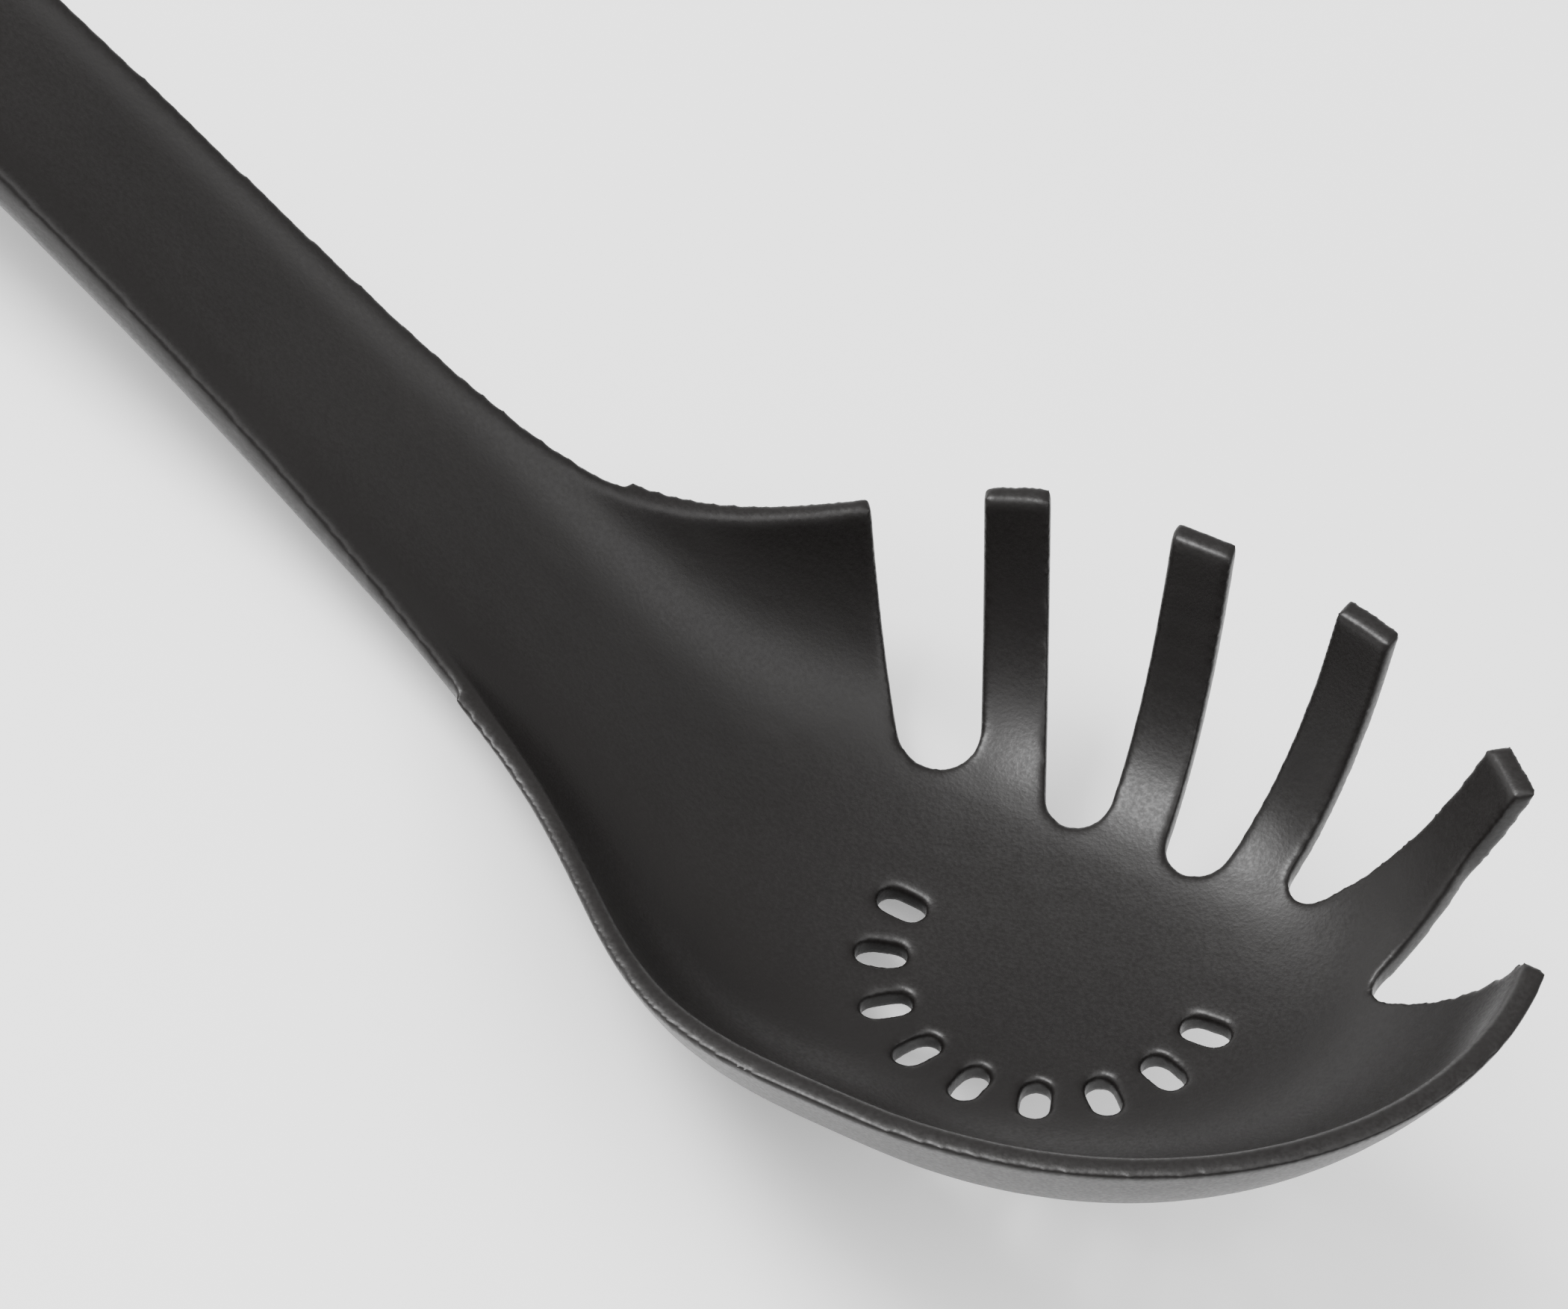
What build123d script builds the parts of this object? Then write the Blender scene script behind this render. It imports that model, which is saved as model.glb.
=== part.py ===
"""Pasta server with a toothed side and a half ring of drain slots.

The server lies on a table as it does in a kitchen: on the heel of its bowl and on the end of its
handle.  X runs from the handle to the front of the bowl, Y to the toothed side, Z up.  The origin is
at the middle of the footprint, on the table.

The head is drawn in the bowl's own frame, whose XY plane is the flat of the bowl's floor, and the
handle in the grip's own frame, whose Z axis runs down the handle.  Both frames follow from the
dimensions below.
"""
from build123d import *
from math import atan, atan2, cos, exp, hypot, log, radians, sin
import os

os.makedirs("parts", exist_ok=True)

# ---------------------------------------------------------------- driving dimensions (mm)
# Bowl
bowl_half_length = 43.5  # rim, inside, from the ring centre to the front
bowl_half_width = 35.0  # rim, inside
bowl_depth = 21.0  # rim above the floor
wall = 2.4
floor_share = 0.15  # share of the depth that the floor's gentle dish takes
wall_power = 4.5  # how sharply the floor turns up into the wall
spare_rise = 0.5  # share of the depth that the surface still rises outside the rim

# Neck
neck_half_width = 7.4
neck_thickness = 7.0
neck_end = -128.0  # where the neck meets the handle
shoulder_run = 37.0  # from the ring centre to where the bowl is half faded into the neck
neck_rise = 0.87  # slope of the neck
heel_run = 28.0  # where the neck's line would meet the floor
heel_round = 5.9
rim_run = 51.2  # where the rim starts to climb the neck
rim_round = 4.8
crest_run = 115.0  # where the neck levels out towards the handle
crest_drop = 0.5
crest_round = 12.0
thick_from = -44.0  # the wall thickens into the neck between these two stations
thick_to = -76.0
edge_land = 1.3  # the neck's top edge outside the dish
neck_trim = -52.0  # the neck's edge is cut in plan behind this station

# Teeth
tooth_width = 6.2
tooth_root = 18.3  # line of the gap bottoms, from the bowl's centre line
tooth_stations = (-13.9, -0.7, 11.8, 25.9)
tooth_angles = (-27.0, -9.5, 8.0, 50.0)  # from +Y towards the front
tooth_out = 30.0  # well outside the rim
tooth_flare = 5.0  # the last tooth's root widens over this length
heel_shoulder = (-26.8, -39.0)  # station and angle of the cut beside the neck
nose_gap = (29.9, 9.4)  # centre of the last gap's bottom
nose_gap_radius = 2.2
nose_cut_angle = -8.0

# Drain slots
slot_count = 9
slot_ring = 15.6
slot_length = 4.9
slot_width = 2.7

# Handle
handle_length = 140.0
core_width = 17.0
core_height = 9.0
sleeve_wall = 3.4
sleeve_start = 13.0
cap_length = 35.0
cap_round = 3.0
tang_width = 9.0
tang_height = 4.6
tang_length = 42.0
tang_clearance = 0.15
pin_diameter = 3.0
pin_stations = (20.0, 36.0)
pin_clearance = 0.02
eyelet_bore = 7.0
eyelet_wall = 0.8
eyelet_flange = 1.6
eyelet_station = 129.0
rest_flat = 0.4  # depth of the flat on the handle's end that lies on the table
core_corner = 3.0
cap_corner = 6.0
cap_lap = 9.0  # how far the core reaches into the end cap
collar_wall = 2.0
collar_round = 1.5
tang_root = 6.0  # how far the tang is rooted in the neck
tang_corner = 0.8
sleeve_swell = 1.6


# ---------------------------------------------------------------- the head's surface
def ramp(along, start, rounding):
    """Length past a station, rounded at the start."""
    return rounding * log(1.0 + exp((-along - start) / rounding))


def crest(x):
    return crest_drop * ramp(x, crest_run, crest_round)


def floor_line(x):
    return neck_rise * ramp(x, heel_run, heel_round) - crest(x)


def rim_line(x):
    return bowl_depth + neck_rise * ramp(x, rim_run, rim_round) - crest(x)


def half_width(x):
    """Inside half width of the rim behind the ring centre."""
    return neck_half_width + (bowl_half_width - neck_half_width) / (1.0 + (x / shoulder_run) ** 4)


def dish(t):
    """Rise of the wall: 0 at the centre line, 1 at the rim, levelling out beyond the rim."""
    rise = floor_share * t**2 + (1 - floor_share) * min(t, 2.0) ** wall_power
    if rise > 1.0:
        rise = 1.0 + spare_rise * (1.0 - exp((1.0 - rise) / spare_rise))
    return rise


def thickness(x):
    """Wall under the floor line, growing into the solid neck."""
    t = min(max((thick_from - x) / (thick_from - thick_to), 0.0), 1.0)
    normal = wall + (neck_thickness - wall) * t * t * (3 - 2 * t)
    slope = (floor_line(x - 0.5) - floor_line(x + 0.5)) / 1.0
    return normal * hypot(1.0, slope)


def height(x, y, offset):
    """Height of the inside of the head (offset 0) or of its outside (offset wall) at x, y."""
    if x >= 0:
        t = hypot(x / (bowl_half_length + offset), y / (bowl_half_width + offset))
    else:
        t = abs(y) / (half_width(x) + offset)
    low = floor_line(x) - thickness(x) * offset / wall
    return low + (rim_line(x) - low) * dish(t)


# ---------------------------------------------------------------- frames
grip_rise = atan(floor_line(neck_end - 0.5) - floor_line(neck_end + 0.5))
grip_at = (
    neck_end - neck_thickness / 2 * sin(grip_rise),
    floor_line(neck_end) - neck_thickness / 2 * cos(grip_rise),
)
cap_half_height = core_height / 2 + sleeve_wall
cap_half_width = core_width / 2 + sleeve_wall


def on_handle(along, below):
    """A point of the bowl's side view, measured down the handle and below its axis."""
    return (
        grip_at[0] - along * cos(grip_rise) - below * sin(grip_rise),
        grip_at[1] + along * sin(grip_rise) - below * cos(grip_rise),
    )


def underside(x):
    return height(x, 0, wall)


# The server tips back until a straight line touches the heel of the bowl and the handle's end.
rest_corner = on_handle(handle_length - cap_round, cap_half_height - rest_flat)
heel_stations = [-bowl_half_length * n / 200 for n in range(201)]
lie, heel = max((atan2(rest_corner[1] - underside(x), x - rest_corner[0]), x) for x in heel_stations)


def turned(x, z):
    """A point of the bowl's side view, turned to lie on the table."""
    return x * cos(lie) - z * sin(lie), x * sin(lie) + z * cos(lie)


# The footprint runs from the bulge of the bowl's front to the rounded top edge of the handle's end.
front_stations = [bowl_half_length + wall - bowl_half_length * n / 200 for n in range(101)]
front_x = max(turned(x, underside(x))[0] for x in front_stations)
back_x = turned(*on_handle(handle_length - cap_round, cap_round - cap_half_height))[0] - cap_round
table_z = turned(heel, underside(heel))[1]
bowl = Plane(
    origin=(-(front_x + back_x) / 2, 0, -table_z),
    x_dir=(cos(lie), 0, sin(lie)),
    z_dir=(-sin(lie), 0, cos(lie)),
)
side = Plane(origin=bowl.origin, x_dir=bowl.x_dir, z_dir=(0, -1, 0))
grip = Plane(
    origin=bowl.from_local_coords((grip_at[0], 0, grip_at[1])),
    x_dir=(sin(grip_rise - lie), 0, cos(grip_rise - lie)),
    z_dir=(-cos(grip_rise - lie), 0, sin(grip_rise - lie)),
)
hole_plane = Plane(
    origin=grip.from_local_coords((0, 0, eyelet_station)), x_dir=(0, 1, 0), z_dir=grip.x_dir
)


def section_plane(x):
    """Plane across the head at a station: sketch X is across, sketch Y is the bowl's height."""
    return Plane(origin=bowl.from_local_coords((x, 0, 0)), x_dir=(0, 1, 0), z_dir=bowl.x_dir)


def spaced(start, stop, step):
    count = round((stop - start) / step)
    return [start + step * n for n in range(count + 1)]


# ---------------------------------------------------------------- head
block_top = 160.0
reach = bowl_half_width + wall + 4.0
across = [-reach + 2 * reach * n / 36 for n in range(37)]
stations = (
    spaced(neck_end - 8.0, -60.0, 8.5) + spaced(-56.0, bowl_half_length - 16.0, 4.0)
    + spaced(bowl_half_length - 14.0, bowl_half_length + wall + 4.0, 2.0)
)


def above(offset, top):
    """Block from the head's inside or outside surface up to a flat top."""
    with BuildPart() as block:
        for x in stations:
            with BuildSketch(section_plane(x)):
                with BuildLine():
                    curve = Spline(*[(y, height(x, y, offset)) for y in across])
                    Polyline(curve @ 1, (reach, top), (-reach, top), curve @ 0)
                make_face()
        loft()
    return block.part


def beside(edge, along, sign):
    """A point in plan on one side of a tooth: sign 1 is its front side, -1 its back side."""
    station, angle, half = edge
    a = radians(angle)
    return (
        station + along * sin(a) + sign * half * cos(a),
        tooth_root + along * cos(a) - sign * half * sin(a),
    )


# Each gap is the hull of its round bottom, which touches the teeth on both sides, and of the points
# where it leaves the rim.  The cut beside the neck counts as a tooth with no width.
teeth = [(*heel_shoulder, 0.0)]
teeth += [(station, angle, tooth_width / 2) for station, angle in zip(tooth_stations, tooth_angles)]
gaps = []
for back, front in zip(teeth, teeth[1:]):
    back_cos, front_cos = cos(radians(back[1])), cos(radians(front[1]))
    middle = (back[0] * back_cos + back[2] + front[0] * front_cos - front[2]) / (back_cos + front_cos)
    radius = (middle - back[0]) * back_cos - back[2]
    gaps.append(((middle, tooth_root), radius, [beside(back, tooth_out, 1), beside(front, tooth_out, -1)]))
nose_out = (
    nose_gap[0] + tooth_out * cos(radians(nose_cut_angle)),
    nose_gap[1] - nose_gap_radius + tooth_out * sin(radians(nose_cut_angle)),
)
nose_points = [beside(teeth[-1], tooth_flare, 1), beside(teeth[-1], tooth_out, 1), nose_out]
gaps.append((nose_gap, nose_gap_radius, nose_points))

inside_block = above(0, block_top + 10)
outside_block = above(wall, block_top)

with BuildPart() as server_head:
    add(outside_block)
    add(inside_block, mode=Mode.SUBTRACT)
    # Rim: level round the bowl, climbing with the neck.
    with BuildSketch(side):
        with BuildLine():
            rim = Spline(*[(x, rim_line(x)) for x in stations])
            Polyline(rim @ 1, (stations[-1], -block_top), (stations[0], -block_top), rim @ 0)
        make_face()
    extrude(amount=reach, both=True, mode=Mode.INTERSECT)
    # Neck: its edges in plan.
    with BuildSketch(bowl.offset(-block_top)):
        with BuildLine():
            edge_stations = [x for x in stations if x <= neck_trim]
            top = Spline(*[(x, half_width(x) + edge_land) for x in edge_stations])
            low = Spline(*[(x, -half_width(x) - edge_land) for x in edge_stations])
            Line(top @ 0, low @ 0)
            Polyline(
                top @ 1, (neck_trim, reach), (stations[-1], reach),
                (stations[-1], -reach), (neck_trim, -reach), low @ 1,
            )
        make_face()
    extrude(amount=3 * block_top, mode=Mode.INTERSECT)
    # Gaps between the teeth.
    for centre, radius, rim_points in gaps:
        with BuildSketch(bowl.offset(-block_top)):
            with BuildLine():
                CenterArc(centre, radius, 0, 360)
                Polyline(*rim_points)
            make_hull()
        extrude(amount=3 * block_top, mode=Mode.SUBTRACT)
    # Drain slots, on the half of the bowl opposite the teeth.
    with BuildSketch(bowl.offset(-block_top)):
        with PolarLocations(slot_ring, slot_count, start_angle=180, angular_range=180, endpoint=True):
            SlotOverall(slot_length, slot_width)
    extrude(amount=2 * block_top, mode=Mode.SUBTRACT)
    # The neck ends square to the handle, with a tang that goes inside it.
    split(bisect_by=grip, keep=Keep.BOTTOM)
    with BuildSketch(grip.offset(-tang_root)):
        RectangleRounded(tang_height, tang_width, tang_corner)
    extrude(amount=tang_root + tang_length)
    for station in pin_stations:
        with BuildSketch(Plane(grip.from_local_coords((0, -reach, station)), grip.x_dir, (0, 1, 0))):
            Circle(pin_diameter / 2 + pin_clearance)
        extrude(amount=2 * reach, mode=Mode.SUBTRACT)

# ---------------------------------------------------------------- handle
core_start = collar_wall
core_end = handle_length - cap_length + cap_lap
sleeve_length = handle_length - cap_length - sleeve_start

with BuildPart() as handle_core:
    with BuildSketch(grip.offset(core_start)):
        RectangleRounded(core_height, core_width, core_corner)
    extrude(amount=core_end - core_start)
    with BuildSketch(grip.offset(core_start)):
        RectangleRounded(
            tang_height + 2 * tang_clearance, tang_width + 2 * tang_clearance, tang_corner
        )
    extrude(amount=tang_length + tang_clearance - core_start, mode=Mode.SUBTRACT)
    for station in pin_stations:
        with BuildSketch(Plane(grip.from_local_coords((0, -reach, station)), grip.x_dir, (0, 1, 0))):
            Circle(pin_diameter / 2 + pin_clearance)
        extrude(amount=2 * reach, mode=Mode.SUBTRACT)

with BuildPart() as front_collar:
    with BuildSketch(grip):
        RectangleRounded(2 * cap_half_height, 2 * cap_half_width, cap_corner)
    extrude(amount=sleeve_start)
    fillet(front_collar.edges().group_by(Axis(grip.origin, grip.z_dir))[0], collar_round)
    with BuildSketch(grip):
        RectangleRounded(
            tang_height + 2 * tang_clearance, tang_width + 2 * tang_clearance, tang_corner
        )
    extrude(amount=sleeve_start, mode=Mode.SUBTRACT)
    with BuildSketch(grip.offset(core_start)):
        RectangleRounded(core_height, core_width, core_corner)
    extrude(amount=sleeve_start, mode=Mode.SUBTRACT)

with BuildPart() as grip_sleeve:
    swell_sections = ((0.0, 0.0), (0.35, sleeve_swell), (1.0, 0.0))
    for share, swell in swell_sections:
        with BuildSketch(grip.offset(sleeve_start + share * sleeve_length)):
            RectangleRounded(
                2 * (cap_half_height + swell), 2 * (cap_half_width + swell), cap_corner + swell
            )
    loft()
    with BuildSketch(grip.offset(sleeve_start)):
        RectangleRounded(core_height, core_width, core_corner)
    extrude(amount=sleeve_length, mode=Mode.SUBTRACT)

with BuildPart() as end_cap:
    with BuildSketch(grip.offset(handle_length - cap_length)):
        RectangleRounded(2 * cap_half_height, 2 * cap_half_width, cap_corner)
    extrude(amount=cap_length)
    fillet(end_cap.edges().group_by(Axis(grip.origin, grip.z_dir))[-1], cap_round)
    with BuildSketch(grip.offset(handle_length - cap_length)):
        RectangleRounded(core_height, core_width, core_corner)
    extrude(amount=cap_lap, mode=Mode.SUBTRACT)
    # Hanging hole, with a shallow seat for the eyelet's flange on both faces.
    with BuildSketch(hole_plane):
        Circle(eyelet_bore / 2 + eyelet_wall)
    extrude(amount=reach, both=True, mode=Mode.SUBTRACT)
    for face in (-1, 1):
        with BuildSketch(hole_plane.offset(face * (cap_half_height - eyelet_wall))):
            Circle(eyelet_bore / 2 + eyelet_wall + eyelet_flange)
        extrude(amount=face * reach, mode=Mode.SUBTRACT)
    # The flat that lies on the table.
    with BuildSketch(Plane.XY):
        with Locations((bowl.origin.X + back_x, 0)):
            Rectangle(4 * cap_length, 4 * cap_half_width)
    extrude(amount=-reach, mode=Mode.SUBTRACT)

with BuildPart() as hang_eyelet:
    with BuildSketch(hole_plane):
        Circle(eyelet_bore / 2 + eyelet_wall)
    extrude(amount=cap_half_height, both=True)
    for face in (-1, 1):
        with BuildSketch(hole_plane.offset(face * cap_half_height)):
            Circle(eyelet_bore / 2 + eyelet_wall + eyelet_flange)
        extrude(amount=-face * eyelet_wall)
    with BuildSketch(hole_plane):
        Circle(eyelet_bore / 2)
    extrude(amount=cap_half_height, both=True, mode=Mode.SUBTRACT)

pins = {}
for name, station in zip(("tang_pin_front", "tang_pin_rear"), pin_stations):
    with BuildPart() as pin:
        start = grip.from_local_coords((0, -core_width / 2, station))
        with BuildSketch(Plane(start, grip.x_dir, (0, 1, 0))):
            Circle(pin_diameter / 2)
        extrude(amount=core_width)
    pins[name] = pin.part

# ---------------------------------------------------------------- write the parts
pieces = {
    "server_head": server_head.part,
    "handle_core": handle_core.part,
    "front_collar": front_collar.part,
    "grip_sleeve": grip_sleeve.part,
    "end_cap": end_cap.part,
    "hang_eyelet": hang_eyelet.part,
    **pins,
}
for name, piece in pieces.items():
    piece.label = name
    export_step(piece, f"parts/{name}.step")
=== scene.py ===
"""Looks of the pasta server: a moulded nylon head with rounded edges on a soft-grip handle."""
from math import cos, radians, sin

import bpy
from mathutils import Matrix, Vector


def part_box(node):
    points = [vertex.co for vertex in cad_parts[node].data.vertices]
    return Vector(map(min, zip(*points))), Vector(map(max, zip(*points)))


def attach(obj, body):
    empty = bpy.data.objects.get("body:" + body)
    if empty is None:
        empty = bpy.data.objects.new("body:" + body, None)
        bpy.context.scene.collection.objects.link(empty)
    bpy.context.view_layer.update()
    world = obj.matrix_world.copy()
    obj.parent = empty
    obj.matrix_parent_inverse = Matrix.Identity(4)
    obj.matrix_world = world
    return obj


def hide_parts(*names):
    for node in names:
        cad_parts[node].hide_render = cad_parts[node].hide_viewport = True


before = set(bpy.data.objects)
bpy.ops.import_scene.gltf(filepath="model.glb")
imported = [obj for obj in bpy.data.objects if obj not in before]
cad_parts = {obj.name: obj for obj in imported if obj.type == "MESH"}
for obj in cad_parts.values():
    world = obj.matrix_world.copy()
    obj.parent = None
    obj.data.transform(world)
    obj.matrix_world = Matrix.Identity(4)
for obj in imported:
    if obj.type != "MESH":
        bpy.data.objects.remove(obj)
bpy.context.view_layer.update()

# ---------------------------------------------------------------- sizes (metres, degrees)
BOWL_TILT = 29.6  # how far the bowl's front is raised as the server lies on the table
RING_SETBACK = 0.02974  # from the front of the bowl to the middle of the drain slots' ring
RING_HEIGHT = 0.01337
BOWL_CENTRE = Vector((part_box("server_head")[1][0] - RING_SETBACK, 0.0, RING_HEIGHT))

# The view is given against the bowl's own floor plane, not against the table.
VIEW_AZIMUTH = 27.8
VIEW_ELEVATION = 50.9
VIEW_ROLL = -0.46
VIEW_DISTANCE = 0.5
VIEW_LENS = 126.9  # mm, on Blender's 36 mm sensor
VIEW_SHIFT = (-0.171, 0.201)
VIEW_CLIP = 0.01

HEAD_VOXEL = 0.0003  # grain of the head's mesh, well under its edge rounding
EDGE_PASSES = 28  # smoothing passes that round the edges

# Noise scales are in cycles per metre.
DRIFT_SCALE = 35
WAVE_SCALE = 180
GRAIN_SCALE = 2600
BRUSH_SCALE = 900
FLOOR_SCALE = 6
NOISE_MIDDLE = (0.3, 0.7)  # most of a noise's values lie between these
TONE_STOPS = (0.35, 0.65)

PLASTIC_SPECULAR = 0.28
SHEEN_SPREAD = 0.06
WAVE_BUMP = (0.12, 0.0002)  # strength and depth
GRAIN_BUMP = 0.35
BRUSH_STRETCH = (1, 1, 14)
BRUSH_BUMP = (0.2, 0.00004)

FLOOR_HALF = 4.0
FLOOR_ROUGHNESS = 0.9
FLOOR_GLOW = 0.3
WORLD_LIGHT = 0.7
# Each softbox: place along the view's right, up and back, then its side and its power in watts.
SOFTBOXES = {
    "key": ((-0.5, 0.9, 0.9), 0.5, 30),
    "fill": ((0.9, 0.1, 0.9), 1.0, 9),
    "top": ((0.0, 0.6, 1.2), 1.2, 12),
}


# ---------------------------------------------------------------- node helpers
def new_material(name):
    material = bpy.data.materials.new(name)
    material.use_nodes = True
    nodes = material.node_tree.nodes
    return material, nodes, material.node_tree.links, nodes["Principled BSDF"]


def noise(nodes, links, scale, detail, stretch=(1, 1, 1)):
    """Noise in object space, which is the CAD frame."""
    coords = nodes.new("ShaderNodeTexCoord")
    mapping = nodes.new("ShaderNodeMapping")
    mapping.inputs["Scale"].default_value = stretch
    texture = nodes.new("ShaderNodeTexNoise")
    texture.inputs["Scale"].default_value = scale
    texture.inputs["Detail"].default_value = detail
    links.new(coords.outputs["Object"], mapping.inputs["Vector"])
    links.new(mapping.outputs["Vector"], texture.inputs["Vector"])
    return texture.outputs["Fac"]


def spread(nodes, links, value, low, high):
    """The noise's middle range, remapped to run from low to high."""
    remap = nodes.new("ShaderNodeMapRange")
    remap.inputs["From Min"].default_value = NOISE_MIDDLE[0]
    remap.inputs["From Max"].default_value = NOISE_MIDDLE[1]
    remap.inputs["To Min"].default_value = low
    remap.inputs["To Max"].default_value = high
    links.new(value, remap.inputs["Value"])
    return remap.outputs["Result"]


def two_tone(nodes, links, value, dark, light):
    """A colour that drifts between two tones."""
    ramp = nodes.new("ShaderNodeValToRGB")
    for element, stop, tone in zip(ramp.color_ramp.elements, TONE_STOPS, (dark, light)):
        element.position = stop
        element.color = (*tone, 1)
    links.new(value, ramp.inputs["Fac"])
    return ramp.outputs["Color"]


def bump(nodes, links, value, strength, distance, under=None):
    """A bump, laid over another one where under is given."""
    node = nodes.new("ShaderNodeBump")
    node.inputs["Strength"].default_value = strength
    node.inputs["Distance"].default_value = distance
    links.new(value, node.inputs["Height"])
    if under:
        links.new(under, node.inputs["Normal"])
    return node.outputs["Normal"]


# ---------------------------------------------------------------- materials
def moulded(name, dark, light, roughness, grain_depth):
    """Moulded plastic: a fine spark-eroded grain, a slow colour drift and a patchy sheen."""
    material, nodes, links, shader = new_material(name)
    drift = noise(nodes, links, DRIFT_SCALE, 3)
    grain = noise(nodes, links, GRAIN_SCALE, 2)
    waves = noise(nodes, links, WAVE_SCALE, 2)
    links.new(two_tone(nodes, links, drift, dark, light), shader.inputs["Base Color"])
    sheen = spread(nodes, links, grain, roughness - SHEEN_SPREAD, roughness + SHEEN_SPREAD)
    links.new(sheen, shader.inputs["Roughness"])
    soft = bump(nodes, links, waves, *WAVE_BUMP)
    links.new(bump(nodes, links, grain, GRAIN_BUMP, grain_depth, soft), shader.inputs["Normal"])
    shader.inputs["Specular IOR Level"].default_value = PLASTIC_SPECULAR
    return material


def brushed(name):
    """Brushed steel."""
    material, nodes, links, shader = new_material(name)
    lines = noise(nodes, links, BRUSH_SCALE, 4, BRUSH_STRETCH)
    tone = two_tone(nodes, links, lines, (0.42, 0.42, 0.43), (0.62, 0.62, 0.63))
    links.new(tone, shader.inputs["Base Color"])
    links.new(spread(nodes, links, lines, 0.24, 0.4), shader.inputs["Roughness"])
    links.new(bump(nodes, links, lines, *BRUSH_BUMP), shader.inputs["Normal"])
    shader.inputs["Metallic"].default_value = 1.0
    return material


nylon = moulded("nylon", (0.0050, 0.0042, 0.0040), (0.0072, 0.0063, 0.0060), 0.4, 0.00005)
hard_plastic = moulded("hard_plastic", (0.008, 0.008, 0.0083), (0.011, 0.011, 0.0113), 0.34, 0.00003)
core_plastic = moulded("core_plastic", (0.03, 0.03, 0.03), (0.04, 0.04, 0.04), 0.5, 0.00003)
soft_grip = moulded("soft_grip", (0.006, 0.006, 0.006), (0.009, 0.009, 0.009), 0.66, 0.00009)
steel = brushed("steel")


# ---------------------------------------------------------------- pieces
def rounded_copy(node, name, voxel, passes, material):
    """A copy of a CAD node with its sharp edges rounded as a mould leaves them."""
    piece = bpy.data.objects.new(name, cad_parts[node].data.copy())
    bpy.context.collection.objects.link(piece)
    piece.data.materials.clear()
    piece.data.materials.append(material)
    bpy.context.view_layer.objects.active = piece
    remesh = piece.modifiers.new("grain", "REMESH")
    remesh.mode = "VOXEL"
    remesh.voxel_size = voxel
    remesh.use_smooth_shade = True
    smooth = piece.modifiers.new("round", "SMOOTH")
    smooth.factor = 0.5
    smooth.iterations = passes
    for modifier in list(piece.modifiers):
        with bpy.context.temp_override(object=piece, active_object=piece):
            bpy.ops.object.modifier_apply(modifier=modifier.name)
    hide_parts(node)
    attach(piece, "root")
    return piece


def paint(node, material):
    """Gives a CAD node that is shown as it is one material all over."""
    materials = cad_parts[node].data.materials
    for slot in range(len(materials)):
        materials[slot] = material


head = rounded_copy("server_head", "moulded_head", HEAD_VOXEL, EDGE_PASSES, nylon)

paint("handle_core", core_plastic)
paint("grip_sleeve", soft_grip)
for node in ("front_collar", "end_cap"):
    paint(node, hard_plastic)
for node in ("hang_eyelet", "tang_pin_front", "tang_pin_rear"):
    paint(node, steel)


# ---------------------------------------------------------------- camera
def bowl_direction(x, y, z):
    """A direction given in the bowl's own frame."""
    tilt = radians(BOWL_TILT)
    return Vector((x * cos(tilt) - z * sin(tilt), y, x * sin(tilt) + z * cos(tilt)))


azimuth, elevation, roll = radians(VIEW_AZIMUTH), radians(VIEW_ELEVATION), radians(VIEW_ROLL)
right = bowl_direction(cos(azimuth), sin(azimuth), 0)
back = bowl_direction(
    sin(azimuth) * cos(elevation), -cos(azimuth) * cos(elevation), sin(elevation)
)
up = back.cross(right)
right, up = right * cos(roll) - up * sin(roll), right * sin(roll) + up * cos(roll)

camera_data = bpy.data.cameras.new("camera")
camera_data.lens = VIEW_LENS
camera_data.shift_x, camera_data.shift_y = VIEW_SHIFT
camera_data.clip_start = VIEW_CLIP
camera = bpy.data.objects.new("camera", camera_data)
bpy.context.collection.objects.link(camera)
turn = Matrix((right, up, back)).transposed().to_4x4()
camera.matrix_world = Matrix.Translation(BOWL_CENTRE + back * VIEW_DISTANCE) @ turn
bpy.context.scene.camera = camera


# ---------------------------------------------------------------- floor and light
def add_floor():
    """A pale floor that glows a little, so that it renders near white."""
    material, nodes, links, shader = new_material("pale_floor")
    drift = noise(nodes, links, FLOOR_SCALE, 2)
    tone = two_tone(nodes, links, drift, (0.93, 0.93, 0.93), (0.96, 0.96, 0.96))
    links.new(tone, shader.inputs["Base Color"])
    shader.inputs["Roughness"].default_value = FLOOR_ROUGHNESS
    shader.inputs["Emission Color"].default_value = (1, 1, 1, 1)
    shader.inputs["Emission Strength"].default_value = FLOOR_GLOW
    mesh = bpy.data.meshes.new("floor")
    signs = ((-1, -1), (1, -1), (1, 1), (-1, 1))
    mesh.from_pydata([(x * FLOOR_HALF, y * FLOOR_HALF, 0) for x, y in signs], [], [(0, 1, 2, 3)])
    mesh.materials.append(material)
    plane = bpy.data.objects.new("floor", mesh)
    bpy.context.collection.objects.link(plane)


def add_softbox(name, place, side, power):
    """A square area light aimed at the bowl."""
    data = bpy.data.lights.new(name, "AREA")
    data.size = side
    data.energy = power
    lamp = bpy.data.objects.new(name, data)
    bpy.context.collection.objects.link(lamp)
    away = right * place[0] + up * place[1] + back * place[2]
    lamp.location = BOWL_CENTRE + away
    lamp.rotation_euler = away.to_track_quat("Z", "Y").to_euler()


add_floor()
for name, (place, side, power) in SOFTBOXES.items():
    add_softbox(name, place, side, power)
world = bpy.data.worlds.new("studio")
world.use_nodes = True
background = world.node_tree.nodes["Background"]
background.inputs["Color"].default_value = (1, 1, 1, 1)
background.inputs["Strength"].default_value = WORLD_LIGHT
bpy.context.scene.world = world
